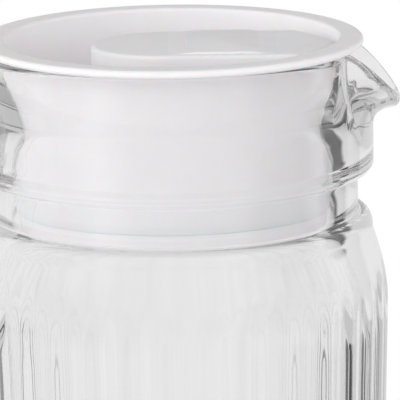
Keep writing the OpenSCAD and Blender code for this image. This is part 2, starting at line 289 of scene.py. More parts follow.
def side_r(z):
    """Outer radius of the body's straight side at height z."""
    return BASE_R + (BODY_R - BASE_R) * (z - HEEL) / (CORNER_Z - HEEL)


def cone_r(z):
    """Outer radius of the shoulder's cone at height z."""
    return BODY_R - (BODY_R - SHOULDER_R) * (z - CORNER_Z) / (SHOULDER_Z - SHOULDER_ROUND - CORNER_Z)


def skirt_r(z):
    """Outer radius of the plug's skirt at height z."""
    return PLUG_LOW_R + (PLUG_R - PLUG_LOW_R) * (z - PLUG_LOW_Z) / PLUG_LEN


# Meshes


def mesh_object(name, verts, faces):
    """Object with a mesh of the given faces, its points in millimetres."""
    mesh = bpy.data.meshes.new(name)
    mesh.from_pydata([tuple(c * MM for c in v) for v in verts], [], faces)
    mesh.validate()
    mesh.update()
    obj = bpy.data.objects.new(name, mesh)
    bpy.context.scene.collection.objects.link(obj)
    return obj


def ring_mesh(name, columns, first=None, last=None):
    """Mesh of columns of points all the way round, closed by a point at each end or else on itself."""
    n, m = len(columns), len(columns[0])
    verts = [p for col in columns for p in col]
    faces = []
    for j in range(n):
        a, b = j * m, (j + 1) % n * m
        faces += [(a + i, b + i, b + i + 1, a + i + 1) for i in range(m - 1)]
    if first is None:
        faces += [(j * m + m - 1, (j + 1) % n * m + m - 1, (j + 1) % n * m, j * m) for j in range(n)]
    else:
        verts += [first, last]
        k = n * m
        faces += [(k, (j + 1) % n * m, j * m) for j in range(n)]
        faces += [(k + 1, j * m + m - 1, (j + 1) % n * m + m - 1) for j in range(n)]
    return mesh_object(name, verts, faces)


def revolved(name, outline):
    """Outline (radius, height) turned round the axis; one that starts at radius 0 also ends there."""
    solid = outline[0][0] == 0
    points = outline[1:-1] if solid else outline
    turns = np.linspace(0, 2 * math.pi, LID_COLUMNS, endpoint=False)
    columns = [[(r * math.cos(a), r * math.sin(a), z) for r, z in points] for a in turns]
    if solid:
        return ring_mesh(name, columns, (0, 0, outline[0][1]), (0, 0, outline[-1][1]))
    return ring_mesh(name, columns)


def loft(name, sections):
    """Solid through closed sections that all have the same number of points."""
    verts = [p for section in sections for p in section]
    m = len(sections[0])
    faces = []
    for k in range(len(sections) - 1):
        a, b = k * m, (k + 1) * m
        faces += [(a + i, a + (i + 1) % m, b + (i + 1) % m, b + i) for i in range(m)]
    faces += [tuple(range(m))[::-1], tuple(range(len(verts) - m, len(verts)))]
    return mesh_object(name, verts, faces)


def block(name, low, high):
    """Box between two corners."""
    (x0, y0, z0), (x1, y1, z1) = low, high
    verts = [(x, y, z) for z in (z0, z1) for x, y in ((x0, y0), (x1, y0), (x1, y1), (x0, y1))]
    faces = [(3, 2, 1, 0), (4, 5, 6, 7), (0, 1, 5, 4), (1, 2, 6, 5), (2, 3, 7, 6), (3, 0, 4, 7)]
    return mesh_object(name, verts, faces)


def combine(obj, other, how):
    """Adds other to obj, cuts it away or keeps what they share, and removes other."""
    mod = obj.modifiers.new("combine", "BOOLEAN")
    mod.operation = how
    mod.solver = "MANIFOLD"
    mod.object = other
    bpy.context.view_layer.update()
    done = bpy.data.meshes.new_from_object(obj.evaluated_get(bpy.context.evaluated_depsgraph_get()))
    obj.modifiers.clear()
    done.materials.clear()
    obj.data = done
    bpy.data.objects.remove(other)
    return obj


def shade(obj, sharp_angle=None):
    """Smooth shading, with edges above the angle kept sharp."""
    obj.data.shade_smooth()
    if sharp_angle:
        obj.data.set_sharp_from_angle(angle=math.radians(sharp_angle))


# Glass


def wall_run(c, rho, roll, out, inn, out_up, out_low, in_up, in_low):
    """Upper wall of the glass: outside, round cap and inside, as (outward, up) points.

    c is the cap's centre, rho its half thickness and roll its turn outwards. out and inn are
    the feet of the two faces, and the four lengths stretch their curves.
    """
    roll = math.radians(roll)
    up = np.array([math.sin(roll), math.cos(roll)])
    side = np.array([math.cos(roll), -math.sin(roll)])
    c, out, inn = np.array(c, float), np.array(out, float), np.array(inn, float)
    outer, inner = c + rho * side, c - rho * side
    cap = []
    for i in range(1, CAP_STEPS):
        a = math.pi * i / CAP_STEPS
        q = c + rho * (side * math.cos(a) + up * math.sin(a))
        cap.append((q[0], q[1]))
    return (
        curve([out, out + (0, out_low), outer - up * out_up, outer], WALL_STEPS)
        + cap
        + curve([inner, inner - up * in_up, inn + (0, in_low), inn], WALL_STEPS)
    )


def plain_run():
    """Upper wall away from the spout."""
    return wall_run(
        (RIM_MID_R, RIM_Z - RIM_HALF_T), RIM_HALF_T, 0,
        (COLLAR_R, COLLAR_TOP_Z), (NECK_IN_R, COLLAR_TOP_Z),
        UPPER_H * OGEE_TOP_SHARE, UPPER_H * OGEE_LOW_SHARE, UPPER_H * CONE_SHARE, UPPER_H * CONE_SHARE,
    )


def foot_pull(steps):
    """Share by which a point follows its foot on the collar, from 1 at the foot to 0 at the cap."""
    u = steps / WALL_STEPS
    return (1 - u) ** 2 * (1 + 2 * u) if u <= 1 else 0.0


def spout_section(t):
    """Points in space of the upper wall at t, from -1 to 1 across the spout."""
    a = math.radians(SPOUT_ANGLE * t)
    ray = np.array([math.cos(a), math.sin(a)])
    drawn = smooth(1 - abs(t), 0, 1 - LIP_FULL_SHARE)
    rolled = smooth(1 - abs(t) / LIP_ROLL_SHARE, 0, 1)
    la = math.radians(90 * min(1, abs(t) / LIP_SIDE_SHARE))
    sign = math.copysign(1, t)
    cl, sl = max(0.0, math.cos(la)), math.sin(la)
    plan_lip = np.array([LIP_X + LIP_A * cl**BLUNT_POWER, sign * SPOUT_HALF_W * sl**BLUNT_POWER])
    n = np.array([SPOUT_HALF_W * cl, sign * LIP_A * sl])
    n = n / np.linalg.norm(n)
    plan = mixed(RIM_MID_R * ray, plan_lip, drawn)
    d = mixed(ray, n, drawn)
    d = d / np.linalg.norm(d)
    rho = RIM_HALF_T + (LIP_HALF_T - RIM_HALF_T) * rolled
    out_share = max(0.0, (plan[0] - LIP_X) / LIP_A) * drawn
    z = RIM_Z - rho - SPOUT_DROOP * out_share**DROOP_POWER
    out_foot = COLLAR_R * ray - plan
    in_foot = NECK_IN_R * ray - plan
    low = min(1, (z - COLLAR_TOP_Z) / UPPER_H + rolled)
    run = wall_run(
        (0, z), rho, LIP_TURN * rolled, (0, COLLAR_TOP_Z), (0, COLLAR_TOP_Z),
        UPPER_H * mixed(OGEE_TOP_SHARE, LIP_UNDER_SHARE, rolled) * low,
        UPPER_H * mixed(OGEE_LOW_SHARE, LIP_UNDER_LOW_SHARE, rolled),
        mixed(UPPER_H * CONE_SHARE, LIP_A * LIP_FLOOR_SHARE, rolled),
        UPPER_H * mixed(CONE_SHARE, LIP_FLOOR_LOW_SHARE, rolled),
    )
    last = len(run) - 1
    out = []
    for i, (off, up) in enumerate(run):
        p = plan + d * off + out_foot * foot_pull(i) + in_foot * foot_pull(last - i)
        out.append((p[0], p[1], up))
    return out


def glass_outside():
    """Outline of the glass outside below the upper wall, from the middle of the base."""
    flute_end = (side_r(FLUTE_END_Z), FLUTE_END_Z)
    low = (side_r(CORNER_Z - CORNER_SOFT), CORNER_Z - CORNER_SOFT)
    high = (cone_r(CORNER_Z + CORNER_SOFT), CORNER_Z + CORNER_SOFT)
    shoulder = (SHOULDER_R, SHOULDER_Z - SHOULDER_ROUND)
    ledge = (SHOULDER_R - SHOULDER_ROUND_W, SHOULDER_Z)
    fillet_z = SHOULDER_Z + SHOULDER_FILLET
    groove_z = COLLAR_LOW_Z - GROOVE_FILLET
    collar_z = COLLAR_LOW_Z + COLLAR_ROUND
    return (
        line((BASE_RING_R, 0), (HEEL_R, 0), BASE_STEP)
        + arc(HEEL_R, HEEL, HEEL, -90, 0, HEEL_STEPS)
        + line((side_r(HEEL), HEEL), flute_end, BODY_STEP)[1:]
        + line(flute_end, low, FLUTE_END_STEP)
        + bend(low, (BODY_R, CORNER_Z), high, CORNER_STEPS)
        + line(high, shoulder, FLUTE_END_STEP)[1:]
        + bend(shoulder, (SHOULDER_R, SHOULDER_Z), ledge, ROUND_STEPS)
        + arc(GROOVE_R + SHOULDER_FILLET, fillet_z, SHOULDER_FILLET, 270, 180, SHOULDER_FILLET_STEPS)
        + line((GROOVE_R, fillet_z), (GROOVE_R, groove_z), NECK_STEP)[1:]
        + arc(GROOVE_R + GROOVE_FILLET, groove_z, GROOVE_FILLET, 180, 90, GROOVE_FILLET_STEPS)
        + arc(COLLAR_R - COLLAR_ROUND, collar_z, COLLAR_ROUND, -90, 0, ROUND_STEPS)
        + line((COLLAR_R, collar_z), (COLLAR_R, COLLAR_TOP_Z), NECK_STEP)[1:]
    )


def glass_inside():
    """Outline of the hollow from the foot of the upper wall down to the middle of the floor."""
    throat_end = (THROAT_R, SHOULDER_Z)
    wide_r = side_r(INSIDE_Z) - WALL
    pull = (SHOULDER_Z - INSIDE_Z) * INSIDE_PULL_SHARE
    fillet_z = BASE_T + INSIDE_ROUND
    foot_r = side_r(fillet_z) - WALL
    widening = [throat_end, (THROAT_R, SHOULDER_Z - pull), (wide_r, INSIDE_Z + pull), (wide_r, INSIDE_Z)]
    return (
        line((NECK_IN_R, COLLAR_TOP_Z), (THROAT_R, THROAT_Z), NECK_STEP)[1:]
        + line((THROAT_R, THROAT_Z), throat_end, THROAT_STEP)
        + curve(widening, INNER_CURVE_STEPS)
        + line((wide_r, INSIDE_Z), (foot_r, fillet_z), INNER_WALL_STEP)[1:]
        + arc(foot_r - INSIDE_ROUND, fillet_z, INSIDE_ROUND, 0, -90, HEEL_STEPS)
        + line((foot_r - INSIDE_ROUND, BASE_T), (INNER_RING_R, BASE_T), BASE_STEP)[1:]
    )


def fluted(r, z, angle):
    """Radius of the outside at angle (degrees from the spout), with the flutes sunk into it."""
    pitch = 360 / FLUTES
    centre = round(angle / pitch) * pitch
    if abs(centre - 180) <= PLAIN_ANGLE or z <= 0:
        return r
    phi = math.radians(angle - centre)
    axis = side_r(0) - FLUTE_DEPTH + FLUTE_R + z * math.tan(LEAN)
    inside = FLUTE_R**2 - (axis * math.sin(phi)) ** 2
    if inside <= 0:
        return r
    sunk = r - (axis * math.cos(phi) - math.sqrt(inside))
    softened = (sunk + math.sqrt(sunk * sunk + FLUTE_SOFT**2)) / 2
    return r - max(0.0, softened - FLUTE_SOFT * FLUTE_TRIM_SHARE)


def glass_mesh():
    """The glass without its handle, in columns from the base up, over the rim and down inside."""
    low, inner, plain = glass_outside(), glass_inside(), plain_run()
    columns = []
    for j in range(COLUMNS):
        angle = 360 * j / COLUMNS
        a = math.radians(angle)
        ca, sa = math.cos(a), math.sin(a)
        col = []
        for r, z in low:
            r = fluted(r, z, angle) if r > HEEL_R else r
            col.append((r * ca, r * sa, z))
        t = (angle if angle <= 180 else angle - 360) / SPOUT_ANGLE
        if abs(t) < 1:
            col += spout_section(t)
        else:
            col += [(r * ca, r * sa, z) for r, z in plain]
        col += [(r * ca, r * sa, z) for r, z in inner]
        columns.append(col)
    return ring_mesh("glass", columns, (0, 0, 0), (0, 0, BASE_T))


def handle_section(x, z, a, r):
    """Oval of the handle at (x, z), where it runs in direction a, with round sides of radius r."""
    half_flat = (HANDLE_W - HANDLE_T) / 2
    a = math.radians(a)
    points = []
    for s in (1, -1):
        for i in range(OVAL_STEPS + 1):
            b = math.radians(180 * i / OVAL_STEPS - 90 * s)
            across, up = s * half_flat + r * math.cos(b), r * math.sin(b)
            points.append((x + up * math.sin(a), across, z - up * math.cos(a)))
    return points


def handle_root(r, z, a):
    """Sections of an arm from inside the glass at radius r out to the end of its hollow flare."""
    foot = HANDLE_T / 2 + ROOT_FLARE
    sections = [handle_section(ROOT_SINK - r, z, a, foot)]
    for i in range(FLARE_STEPS + 1):
        b = math.radians(90 * i / FLARE_STEPS)
        x = ROOT_DIP - r - ROOT_FLARE * (1 - math.cos(b))
        sections.append(handle_section(x, z, a, foot - ROOT_FLARE * math.sin(b)))
    return sections


def handle_bend(x, z, r, start):
    """Sections of a quarter turn of radius r about (x, z)."""
    sections = []
    for a in np.linspace(start, start + 90, BEND_STEPS + 1):
        b = math.radians(a)
        sections.append(handle_section(x + r * math.cos(b), z + r * math.sin(b), a + 90, HANDLE_T / 2))
    return sections


def handle_mesh():
    """The handle's oval swept round its path, with hollow flares sunk into the glass."""
    low_z = LOWER_BEND_Z - LOWER_BEND
    wall_r = side_r(low_z)
    reach = wall_r + HANDLE_GAP
    return loft(
        "handle_glass",
        handle_root(COLLAR_R, HANDLE_TOP_Z, 180)
        + handle_bend(UPPER_BEND - reach, HANDLE_TOP_Z - UPPER_BEND, UPPER_BEND, 90)
        + handle_bend(LOWER_BEND - reach, LOWER_BEND_Z, LOWER_BEND, 180)
        + handle_root(wall_r, low_z, 0)[::-1],
    )


# Lid


def cup_outline():
    """Outline of the lid's cup: under the floor, skirt with its groove, flange, and well."""
    under_z = FLOOR_Z - FLOOR_T
    under_r = skirt_r(under_z) - LID_WALL
    seal_r = skirt_r(SEAL_LOW_Z) - SEAL_GROOVE
    inner_r = seal_r - LID_WALL
    well_r = skirt_r(FLOOR_Z) - LID_WALL
    mouth_r = PLUG_R - LID_WALL
    fillet_z = FLANGE_Z - FLANGE_FILLET
    edge = FLANGE_T / 2
    return (
        [(0, under_z), (under_r, under_z)]
        + [(inner_r, SEAL_TOP_Z + SEAL_GROOVE), (inner_r, PLUG_LOW_Z + PLUG_BEVEL)]
        + [(inner_r + PLUG_BEVEL, PLUG_LOW_Z)]
        + arc(PLUG_LOW_R - PLUG_ROUND, PLUG_LOW_Z + PLUG_ROUND, PLUG_ROUND, -90, 0, PLUG_ROUND_STEPS)
        + [(skirt_r(SEAL_LOW_Z), SEAL_LOW_Z), (seal_r, SEAL_LOW_Z)]
        + [(skirt_r(SEAL_TOP_Z) - SEAL_GROOVE, SEAL_TOP_Z), (skirt_r(SEAL_TOP_Z), SEAL_TOP_Z)]
        + line((skirt_r(SEAL_TOP_Z), SEAL_TOP_Z), (PLUG_R, fillet_z), LID_STEP)[1:]
        + arc(PLUG_R + FLANGE_FILLET, fillet_z, FLANGE_FILLET, 180, 90, FLANGE_FILLET_STEPS)
        + arc(FLANGE_R - edge, LID_TOP_Z - edge, edge, -90, 90, FLANGE_STEPS)
        + arc(mouth_r + edge, LID_TOP_Z - edge, edge, 90, 180, FLANGE_INNER_STEPS)
        + line((mouth_r, LID_TOP_Z - WELL_WALL_DROP), (well_r, FLOOR_Z + WELL_FILLET), LID_STEP)
        + arc(well_r - WELL_FILLET, FLOOR_Z + WELL_FILLET, WELL_FILLET, 0, -90, WELL_FILLET_STEPS)
        + [(0, FLOOR_Z)]
    )


def at_height(outline, z):
    """A flat outline as points in space at height z."""
    return [(x, y, z) for x, y in outline]


def edge_steps(r, angles):
    """Pairs of inset and drop along a rounded top edge of radius r."""
    return [(r * (1 - math.cos(math.radians(a))), r * (1 - math.sin(math.radians(a)))) for a in angles]


def grip_outline(inset):
    """Outline of the grip drawn in by inset, anticlockwise from the tip of its nose."""
    w = GRIP_HALF_W - inset
    run = GRIP_TIP_X - GRIP_NOSE_X
    chord = math.hypot(run, GRIP_HALF_W)
    reach = math.sqrt(NOSE_CURVE_R**2 - (chord / 2) ** 2) / chord
    cx = (GRIP_NOSE_X + GRIP_TIP_X) / 2 - GRIP_HALF_W * reach
    cy = GRIP_HALF_W / 2 - run * reach
    r = NOSE_CURVE_R - inset
    tip = math.degrees(math.asin(-cy / r))
    corner = math.degrees(math.asin((w - cy) / r))
    nose = arc(cx, cy, r, tip, corner, NOSE_STEPS)
    back = arc(GRIP_ROUND_X, 0, w, 90, 180, GRIP_BACK_STEPS)
    half = nose + line(nose[-1], back[0], GRIP_STEP)[1:] + back
    return half + [(x, -y) for x, y in half[::-1]][1:-1]


def grip_solid(name, inset, z, drop=0.0):
    """The grip drawn in by inset, from z up to its rounded top, lowered by drop."""
    sections = [at_height(grip_outline(inset), z)]
    for d, low in edge_steps(GRIP_ROUND, np.linspace(0, 90, GRIP_EDGE_STEPS + 1)):
        sections.append(at_height(grip_outline(inset + d), GRIP_TOP_Z - drop - low))
    return loft(name, sections)


def pad_outline(inset, rise):
    """Outline of the raised pad, its corners drawn in by inset and its two ends moved in by rise."""
    hx, hy = PAD_L / 2, PAD_W / 2
    points = []
    for k, (sx, sy) in enumerate(((1, 1), (-1, 1), (-1, -1), (1, -1))):
        cx, cy = sx * (hx - rise - PAD_ROUND), sy * (hy - PAD_ROUND)
        corner = arc(cx, cy, PAD_ROUND - inset, 90 * k, 90 * k + 90, PAD_CORNER_STEPS)
        points += [(PAD_X + hx + x, y) for x, y in corner]
    return points


def pad_solid():
    """The raised blank pad: rounded corners, a softened top edge, and ends that rise slowly."""
    top_z = GRIP_TOP_Z + PAD_H
    sections = [
        at_height(pad_outline(0, 0), GRIP_TOP_Z - PAD_SINK),
        at_height(pad_outline(0, 0), GRIP_TOP_Z + PAD_START),
        at_height(pad_outline(0, PAD_RISE * (1 - PAD_EDGE / PAD_H)), top_z - PAD_EDGE),
    ]
    for d, low in edge_steps(PAD_EDGE, PAD_EDGE_ANGLES):
        sections.append(at_height(pad_outline(d, PAD_RISE), top_z - low))
    return loft("pad", sections)


def hollow_space():
    """The hollow under the grip, open downwards through the well's floor."""
    return grip_solid("hollow", LID_WALL, FLOOR_Z - FLOOR_T - OVER, LID_WALL)


def window_space(z, reach):
    """Passage from the hollow out to a reach along X, from z up to the window's upper edge."""
    return block("window", (GRIP_NOSE_X, -WINDOW_HALF_W, z), (reach, WINDOW_HALF_W, WINDOW_TOP_Z))


def well_space():
    """The finger well's space, let a little into the cup's wall and floor."""
    low_r = skirt_r(FLOOR_Z) - LID_WALL + OVERLAP
    high_r = PLUG_R - LID_WALL + OVERLAP
    floor = [(0, FLOOR_Z - OVER), (low_r, FLOOR_Z - OVER), (low_r, FLOOR_Z)]
    return revolved("well", floor + [(high_r, LID_TOP_Z), (0, LID_TOP_Z)])


def cup_piece():
    """The lid's flange, well and skirt, cut through for the hollow and the window."""
    cup = revolved("lid_moulding", cup_outline())
    combine(cup, hollow_space(), "DIFFERENCE")
    return combine(cup, window_space(WINDOW_TOP_Z - WINDOW_H, FLANGE_R - OVER), "DIFFERENCE")


def grip_piece():
    """The pointed grip, with the cheeks that lead its hollow to the window, and the raised pad."""
    foot_z = FLOOR_Z - OVERLAP
    cheek = WINDOW_HALF_W + LID_WALL
    grip = grip_solid("lid_grip_moulding", 0, foot_z)
    cheeks = block("cheeks", (GRIP_NOSE_X, -cheek, foot_z), (FLANGE_R, cheek, WINDOW_TOP_Z + LID_WALL))
    combine(grip, cheeks, "UNION")
    combine(grip, well_space(), "INTERSECT")
    combine(grip, hollow_space(), "DIFFERENCE")
    combine(grip, window_space(FLOOR_Z - OVER, FLANGE_R), "DIFFERENCE")
    return combine(grip, pad_solid(), "UNION")


def ring_outline():
    """Section of the soft ring: a flat back in the groove and a rounded lip along its face."""
    low, high = SEAL_LOW_Z + SEAL_EDGE, SEAL_TOP_Z - SEAL_EDGE
    full_low, full_high = low + SEAL_SLOPE, high - SEAL_SLOPE
    return (
        [(skirt_r(low) - SEAL_GROOVE + SEAL_PLAY, low)]
        + bend(
            (skirt_r(low) + SEAL_EDGE, low),
            (skirt_r(low) + SEAL_PROUD, low + SEAL_SLOPE / 2),
            (skirt_r(full_low) + SEAL_PROUD, full_low),
            SEAL_LIP_STEPS,
        )
        + bend(
            (skirt_r(full_high) + SEAL_PROUD, full_high),
            (skirt_r(high) + SEAL_PROUD, high - SEAL_SLOPE / 2),
            (skirt_r(high) + SEAL_EDGE, high),
            SEAL_LIP_STEPS,
        )
        + [(skirt_r(high) - SEAL_GROOVE + SEAL_PLAY, high)]
    )


# Looks, with lengths in metres and directions that point away from the part

# Detail of a plain noise, and its values at which a surface reaches its low and its high tone
NOISE_DETAIL = 2.0
LOW_TONE_AT, HIGH_TONE_AT = 0.3, 0.7
# Glass: two near tones, the waves of its surface, and the dimming of what stands behind it
GLASS_TONES = ((0.985, 0.981, 0.984), (0.995, 0.990, 0.993))
GLASS_TONE_SCALE = 30.0
GLASS_IOR = 1.5
WAVE_SCALE = 45.0
WAVE_DETAIL = 1.0
WAVE_STRENGTH = 0.12
WAVE_HEIGHT = 0.0006
CLEAR_TONE = (0.935, 0.933, 0.935)
# Numbers of reflections and of all bounces after which light held in the glass comes out dim
GLOSSY_LIMIT = 2.5
BOUNCE_LIMIT = 9.5
HELD_TONE = 0.70
# Plastics: low and high tone, roughness, and height of the grain
LID_LOOKS = ((0.860, 0.852, 0.864), (0.878, 0.870, 0.882), 0.45, 0.00004)
RING_LOOKS = ((0.850, 0.842, 0.856), (0.870, 0.862, 0.876), 0.5, 0.00006)
PLASTIC_IOR = 1.46
# Share of the light that enters the plastic, and how far it spreads there
PLASTIC_INNER_SHARE = 0.25
PLASTIC_SPREAD = 0.002
PLASTIC_TONE_SCALE = 120.0
PLASTIC_TONE_DETAIL = 3.0
GRAIN_SCALE = 900.0
GRAIN_STRENGTH = 0.15
# Angle above which an edge of the lid or the ring stays sharp
SHARP_ANGLE = 35
# Ground: two near tones, and the stretch over which it goes from part white to white
GROUND_TONES = ((0.86, 0.86, 0.86), (0.88, 0.88, 0.88))
GROUND_TONE_SCALE = 6.0
GROUND_NEAR, GROUND_FAR = 0.10, 0.32
GROUND_WHITE = 0.4
GROUND_R = 2.5
GROUND_CORNERS = 96
# Drop of the ground below the part's foot
GROUND_DROP = 0.0002
# Sockets of a node that mixes colours: its two colours, and its result
COLOUR_A, COLOUR_B, COLOUR_OUT = 6, 7, 2
# Tone of the surroundings seen in the glass, by the Y of the direction
FIELD = ((-1.0, 0.70), (-0.55, 0.52), (-0.2, 0.34), (0.0, 0.56), (0.2, 0.84), (1.0, 0.84))
# Dark cards beside the part: direction, cosines of the edge and of the full dark, and strength
DARK_CARDS = (
    ((0.86, 0.51, 0.0), 0.972, 0.992, 0.85),
    ((0.96, -0.28, 0.0), 0.87, 0.965, 0.97),
    ((-0.93, -0.36, 0.0), 0.95, 0.985, 0.80),
)
# Soft glow seen in the glass: its direction, the cosine of its edge and its level
GLOW_WAY = (-0.85, -0.45, 0.10)
GLOW_EDGE = 0.75
GLOW_LEVEL = 0.7
# Even light at the horizon and at the zenith
AMBIENT_LOW = 0.96
AMBIENT_HIGH = 0.00
# Broad soft lights: the direction of each, the cosine of its edge and its level
SOFT_LIGHTS = (
    ((-0.92, -0.30, 0.25), 0.45, 0.48),
    ((-0.60, -0.75, 0.25), 0.45, 1.18),
    ((0.20, -0.93, 0.30), 0.45, 0.08),
    ((0.90, -0.30, 0.30), 0.45, 0.76),
)


def grey(tone):
    """Colour of one tone."""
    return (tone, tone, tone, 1)


class Nodes:
    """Small helper that adds and joins shader nodes."""

    def __init__(self, owner):
        owner.use_nodes = True
        self.tree = owner.node_tree
        self.tree.nodes.clear()

    def add(self, kind, **values):
        """A new node, with its inputs or settings of the given names set."""
        node = self.tree.nodes.new(kind)
        for key, value in values.items():
            if key in node.inputs:
                node.inputs[key].default_value = value
            else:
                setattr(node, key, value)
        return node

    def join(self, source, target):
        """Link from an output to an input."""
        self.tree.links.new(source, target)

    def maths(self, operation, a, b):
        """Result of a sum on two values, each the output of a node or a number."""
        node = self.add("ShaderNodeMath", operation=operation)
        for value, slot in zip((a, b), node.inputs):
            if isinstance(value, float):
                slot.default_value = value
            else:
                self.join(value, slot)
        return node.outputs[0]

    def most(self, a, b):
        """The larger of two values."""
        return self.maths("MAXIMUM", a, b)

    def mix(self, share, a, b):
        """Shader a where the share is 0 and b where it is 1."""
        node = self.add("ShaderNodeMixShader")
        for source, slot in zip((share, a, b), node.inputs):
            self.join(source, slot)
        return node.outputs[0]

    def finish(self, kind, shader):
        """Output node of the given kind, fed by the shader."""
        self.join(shader, self.add(kind).inputs["Surface"])

    def noise(self, scale, detail=NOISE_DETAIL):
        """Even noise through the piece's own space."""
        place = self.add("ShaderNodeTexCoord")
        noise = self.add("ShaderNodeTexNoise", Scale=scale, Detail=detail)
        self.join(place.outputs["Object"], noise.inputs["Vector"])
        return noise.outputs["Fac"]

    def ramp(self, fac, keys):
        """Colour at fac, between the colours of the keys (position, colour)."""
        ramp = self.add("ShaderNodeValToRGB")
        points = ramp.color_ramp.elements
        while len(points) < len(keys):
            points.new(1.0)
        for point, (position, colour) in zip(points, keys):
            point.position = position
            point.color = colour
        self.join(fac, ramp.inputs["Fac"])
        return ramp.outputs["Color"]

    def tones(self, scale, pair, detail=NOISE_DETAIL):
        """Colour that wanders between two near tones over the piece."""
        low, high = pair
        keys = ((LOW_TONE_AT, (*low, 1)), (HIGH_TONE_AT, (*high, 1)))
        return self.ramp(self.noise(scale, detail), keys)

    def bump(self, height, strength, distance):
        """Normal of a surface that the height lifts."""
        bump = self.add("ShaderNodeBump", Strength=strength, Distance=distance)
        self.join(height, bump.inputs["Height"])
        return bump.outputs["Normal"]

    def spread(self, value, start, end, low=0.0, high=1.0, shape="LINEAR"):
        """Value that goes from low at start to high at end and stays level beyond them."""
        node = self.add("ShaderNodeMapRange", interpolation_type=shape)
        for name, number in (("From Min", start), ("From Max", end), ("To Min", low), ("To Max", high)):
            node.inputs[name].default_value = number
        self.join(value, node.inputs["Value"])
        return node.outputs["Result"]

    def part_of(self, way, axis):
        """One coordinate of a direction."""
        split = self.add("ShaderNodeSeparateXYZ")
        self.join(way, split.inputs[0])
        return split.outputs[axis]

    def soft_spot(self, way, aim, edge, high, full=1.0):
        """Value that is high within full of aim and falls to nothing at the edge, both cosines."""
        near = self.add("ShaderNodeVectorMath", operation="DOT_PRODUCT")
        near.inputs[1].default_value = Vector(aim).normalized()
        self.join(way, near.inputs[0])
        return self.spread(near.outputs["Value"], edge, full, 0.0, high, "SMOOTHSTEP")

    def field(self, way):
        """Tone of the surroundings in a direction: pale behind the part, darker beside and before it.

        The dark cards are taken from it and the glow is added.
        """
        share = self.spread(self.part_of(way, "Y"), -1.0, 1.0)
        tone = self.ramp(share, [((y + 1) / 2, grey(level)) for y, level in FIELD])
        for aim, edge, full, strength in DARK_CARDS:
            kept = self.add("ShaderNodeVectorMath", operation="SCALE")
            self.join(tone, kept.inputs[0])
            light = self.maths("SUBTRACT", 1.0, self.soft_spot(way, aim, edge, strength, full))
            self.join(light, kept.inputs["Scale"])
            tone = kept.outputs["Vector"]
        both = self.add("ShaderNodeVectorMath", operation="ADD")
        self.join(tone, both.inputs[0])
        self.join(self.soft_spot(way, GLOW_WAY, GLOW_EDGE, GLOW_LEVEL), both.inputs[1])
        return both.outputs["Vector"]


# Materials


def glass_material():
    """Clear glass with slow waves, dimmer where light has bounced in it many times."""
    mat = bpy.data.materials.new("clear_glass")
    n = Nodes(mat)
    glass = n.add("ShaderNodeBsdfPrincipled", Roughness=0.0, IOR=GLASS_IOR)
    glass.inputs["Transmission Weight"].default_value = 1.0
    n.join(n.tones(GLASS_TONE_SCALE, GLASS_TONES), glass.inputs["Base Color"])
    waves = n.bump(n.noise(WAVE_SCALE, WAVE_DETAIL), WAVE_STRENGTH, WAVE_HEIGHT)
    n.join(waves, glass.inputs["Normal"])
    held = n.add("ShaderNodeBsdfTransparent", Color=grey(HELD_TONE))
    clear = n.add("ShaderNodeBsdfTransparent", Color=(*CLEAR_TONE, 1))
    path = n.add("ShaderNodeLightPath")
    deep = n.most(
        n.maths("GREATER_THAN", path.outputs["Glossy Depth"], GLOSSY_LIMIT),
        n.maths("GREATER_THAN", path.outputs["Ray Depth"], BOUNCE_LIMIT),
    )
    passing = n.most(path.outputs["Is Shadow Ray"], path.outputs["Is Diffuse Ray"])
    seen = n.mix(deep, glass.outputs[0], held.outputs[0])
    n.finish("ShaderNodeOutputMaterial", n.mix(passing, seen, clear.outputs[0]))
    return mat


def plastic_material(name, low, high, roughness, grain):
    """Matt plastic with a fine grain, into which light enters a little."""
    mat = bpy.data.materials.new(name)
    n = Nodes(mat)
    shader = n.add("ShaderNodeBsdfPrincipled", Roughness=roughness, IOR=PLASTIC_IOR)
    shader.inputs["Specular IOR Level"].default_value = 0.0
    shader.inputs["Subsurface Weight"].default_value = PLASTIC_INNER_SHARE
    shader.inputs["Subsurface Scale"].default_value = PLASTIC_SPREAD
    tone = n.tones(PLASTIC_TONE_SCALE, (low, high), PLASTIC_TONE_DETAIL)
    n.join(tone, shader.inputs["Base Color"])
    n.join(n.bump(n.noise(GRAIN_SCALE), GRAIN_STRENGTH, grain), shader.inputs["Normal"])
    n.finish("ShaderNodeOutputMaterial", shader.outputs[0])
    return mat


def ground_material():
    """Pale floor that keeps the shadow near the part and is plain white farther out.

    In the glass it shows the tone of the surroundings.
    """
    mat = bpy.data.materials.new("floor")
    n = Nodes(mat)
    matt = n.add("ShaderNodeBsdfDiffuse")
    n.join(n.tones(GROUND_TONE_SCALE, GROUND_TONES), matt.inputs["Color"])
    path = n.add("ShaderNodeLightPath")
    place = n.add("ShaderNodeNewGeometry")
    way = n.add("ShaderNodeVectorMath", operation="NORMALIZE")
    n.join(place.outputs["Position"], way.inputs[0])
    tone = n.add("ShaderNodeMix", data_type="RGBA")
    tone.inputs[COLOUR_B].default_value = grey(1)
    n.join(path.outputs["Is Camera Ray"], tone.inputs[0])
    n.join(n.field(way.outputs["Vector"]), tone.inputs[COLOUR_A])
    white = n.add("ShaderNodeEmission", Strength=1.0)
    n.join(tone.outputs[COLOUR_OUT], white.inputs["Color"])
    length = n.add("ShaderNodeVectorMath", operation="LENGTH")
    n.join(place.outputs["Position"], length.inputs[0])
    far = n.spread(length.outputs["Value"], GROUND_NEAR, GROUND_FAR, GROUND_WHITE, 1.0, "SMOOTHSTEP")
    seen = n.most(path.outputs["Is Camera Ray"], path.outputs["Is Transmission Ray"])
    share = n.maths("MULTIPLY", n.most(seen, path.outputs["Is Glossy Ray"]), far)
    n.finish("ShaderNodeOutputMaterial", n.mix(share, matt.outputs[0], white.outputs[0]))
    return mat


# Stage


